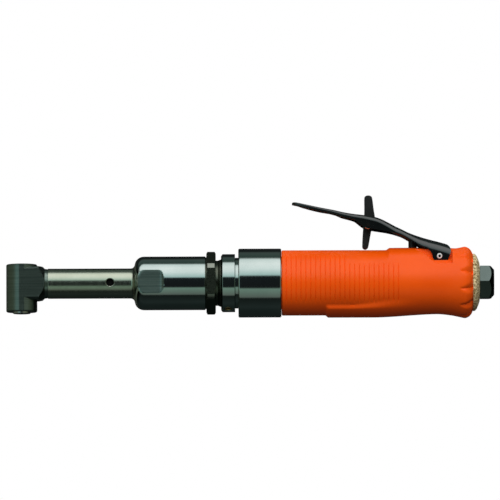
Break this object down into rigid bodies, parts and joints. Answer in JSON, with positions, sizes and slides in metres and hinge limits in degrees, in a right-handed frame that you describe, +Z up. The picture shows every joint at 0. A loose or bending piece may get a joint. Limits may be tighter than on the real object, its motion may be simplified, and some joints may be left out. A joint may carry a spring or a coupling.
{
  "type": "right angle pneumatic drill",
  "caption": "Hand-held right-angle air tool: angle head on a slim neck, gear case, polished collar, moulded grip, throttle lever with lock-off blade and hexagon air inlet.",
  "frame": {"origin": "centre of the mouth of the spindle's threaded bore, at the tip of the angle head", "axes": "+Z up the spindle's axis, +X back along the tool to the air inlet, +Y to the far side"},
  "size_m": [0.2655, 0.039, 0.067],
  "materials": {
    "black_oxide": "black oxide, ground and oiled",
    "polished_steel": "hardened and polished",
    "orange_composite": "moulded, semi-matt",
    "black_lever": "semi-gloss black coating",
    "black_tab": "matt black",
    "sintered_bronze": "sintered granules",
    "bright_steel": "ground bright",
    "gear_steel": "hardened, machined",
    "bronze": "machined",
    "aluminium": "machined",
    "seal_rubber": "moulded",
    "vane_composite": "laminated fibre"
  },
  "bodies": {
    "handle": {"angle_head": "black_oxide", "head_cap": "black_oxide", "head_bush": "bronze", "spindle_retainer": "bright_steel", "spindle_bearing_outer": "bright_steel", "shaft_bearing_outer": "bright_steel", "carrier_bearing_outer": "bright_steel", "front_motor_bearing_outer": "bright_steel", "rear_motor_bearing_outer": "bright_steel", "extension_housing": "polished_steel", "neck_bush": "bronze", "ring_gear": "gear_steel", "gear_spacer": "gear_steel", "lock_ring": "polished_steel", "motor_housing": "polished_steel", "front_collar": "polished_steel", "front_end_plate": "gear_steel", "motor_cylinder": "gear_steel", "rear_end_plate": "gear_steel", "valve_body": "aluminium", "throttle_bushing": "bronze", "plunger_seal": "seal_rubber", "valve_spring": "bright_steel", "valve_plug": "bright_steel", "grip": "orange_composite", "muffler": "sintered_bronze", "inlet_bushing": "black_oxide", "inlet_screen": "bright_steel", "hinge_pin": "bright_steel"},
    "rotor": {"rotor": "gear_steel", "rotor_vanes": "vane_composite", "sun_gear": "gear_steel", "front_motor_bearing_inner": "bright_steel", "rear_motor_bearing_inner": "bright_steel"},
    "carrier": {"planet_carrier": "gear_steel", "planet_pins": "bright_steel", "drive_shaft": "gear_steel", "bevel_pinion": "gear_steel", "carrier_bearing_inner": "bright_steel", "shaft_bearing_inner": "bright_steel"},
    "spindle": {"spindle": "bright_steel", "bevel_gear": "gear_steel", "spindle_bearing_inner": "bright_steel"},
    "lever": {"throttle_lever": "black_lever", "lock_pin": "black_lever", "lock_spring": "bright_steel"},
    "lock": {"lock_blade": "black_tab"},
    "plunger": {"throttle_plunger": "black_tab", "poppet_seal": "seal_rubber"},
    "planet_1": {"planet_gear_1": "gear_steel"},
    "planet_2": {"planet_gear_2": "gear_steel"},
    "planet_3": {"planet_gear_3": "gear_steel"},
    "spindle_bearing_cage": {"spindle_bearing_balls": "bright_steel"},
    "shaft_bearing_cage": {"shaft_bearing_balls": "bright_steel"},
    "carrier_bearing_cage": {"carrier_bearing_balls": "bright_steel"},
    "front_motor_bearing_cage": {"front_motor_bearing_balls": "bright_steel"},
    "rear_motor_bearing_cage": {"rear_motor_bearing_balls": "bright_steel"}
  },
  "joints": [
    {"name": "rotor_spin", "type": "hinge", "parent": "handle", "child": "rotor", "pos_m": [0, 0, 0.01635], "axis": [1, 0, 0], "continuous": true},
    {"name": "carrier_spin", "type": "hinge", "parent": "handle", "child": "carrier", "pos_m": [0, 0, 0.01635], "axis": [1, 0, 0], "continuous": true},
    {"name": "spindle_spin", "type": "hinge", "parent": "handle", "child": "spindle", "pos_m": [0, 0, 0], "axis": [0, 0, 1], "continuous": true},
    {"name": "planet_1_spin", "type": "hinge", "parent": "carrier", "child": "planet_1", "pos_m": [0.098, 0, 0.02235], "axis": [1, 0, 0], "continuous": true},
    {"name": "planet_2_spin", "type": "hinge", "parent": "carrier", "child": "planet_2", "pos_m": [0.098, -0.0052, 0.01335], "axis": [1, 0, 0], "continuous": true},
    {"name": "planet_3_spin", "type": "hinge", "parent": "carrier", "child": "planet_3", "pos_m": [0.098, 0.0052, 0.01335], "axis": [1, 0, 0], "continuous": true},
    {"name": "spindle_bearing_roll", "type": "hinge", "parent": "handle", "child": "spindle_bearing_cage", "pos_m": [0, 0, 0], "axis": [0, 0, 1], "continuous": true},
    {"name": "shaft_bearing_roll", "type": "hinge", "parent": "handle", "child": "shaft_bearing_cage", "pos_m": [0, 0, 0.01635], "axis": [1, 0, 0], "continuous": true},
    {"name": "carrier_bearing_roll", "type": "hinge", "parent": "handle", "child": "carrier_bearing_cage", "pos_m": [0, 0, 0.01635], "axis": [1, 0, 0], "continuous": true},
    {"name": "front_motor_bearing_roll", "type": "hinge", "parent": "handle", "child": "front_motor_bearing_cage", "pos_m": [0, 0, 0.01635], "axis": [1, 0, 0], "continuous": true},
    {"name": "rear_motor_bearing_roll", "type": "hinge", "parent": "handle", "child": "rear_motor_bearing_cage", "pos_m": [0, 0, 0.01635], "axis": [1, 0, 0], "continuous": true},
    {"name": "lever_hinge", "type": "hinge", "parent": "handle", "child": "lever", "pos_m": [0.2274, 0, 0.03015], "axis": [0, -1, 0], "range_deg": [0, 10]},
    {"name": "plunger_slide", "type": "slide", "parent": "handle", "child": "plunger", "axis": [0, 0, 1], "range_m": [-0.0029, 0], "deforming": ["valve_spring"]},
    {"name": "lock_fold", "type": "hinge", "parent": "lever", "child": "lock", "pos_m": [0.1886, 0, 0.04735], "axis": [0, -1, 0], "range_deg": [0, 65.5]}
  ],
  "couplings": [
    {"joint": "carrier_spin", "follows": "rotor_spin", "ratio": 0.25},
    {"joint": "spindle_spin", "follows": "rotor_spin", "ratio": 0.19118},
    {"joint": "planet_1_spin", "follows": "rotor_spin", "ratio": -0.75},
    {"joint": "planet_2_spin", "follows": "rotor_spin", "ratio": -0.75},
    {"joint": "planet_3_spin", "follows": "rotor_spin", "ratio": -0.75},
    {"joint": "spindle_bearing_roll", "follows": "rotor_spin", "ratio": 0.08116},
    {"joint": "shaft_bearing_roll", "follows": "rotor_spin", "ratio": 0.098837},
    {"joint": "carrier_bearing_roll", "follows": "rotor_spin", "ratio": 0.096154},
    {"joint": "front_motor_bearing_roll", "follows": "rotor_spin", "ratio": 0.38},
    {"joint": "rear_motor_bearing_roll", "follows": "rotor_spin", "ratio": 0.38421},
    {"joint": "plunger_slide", "follows": "lever_hinge", "m_per_rad": -0.0163},
    {"joint": "lock_fold", "follows": "lever_hinge", "ratio": 6.5}
  ]
}
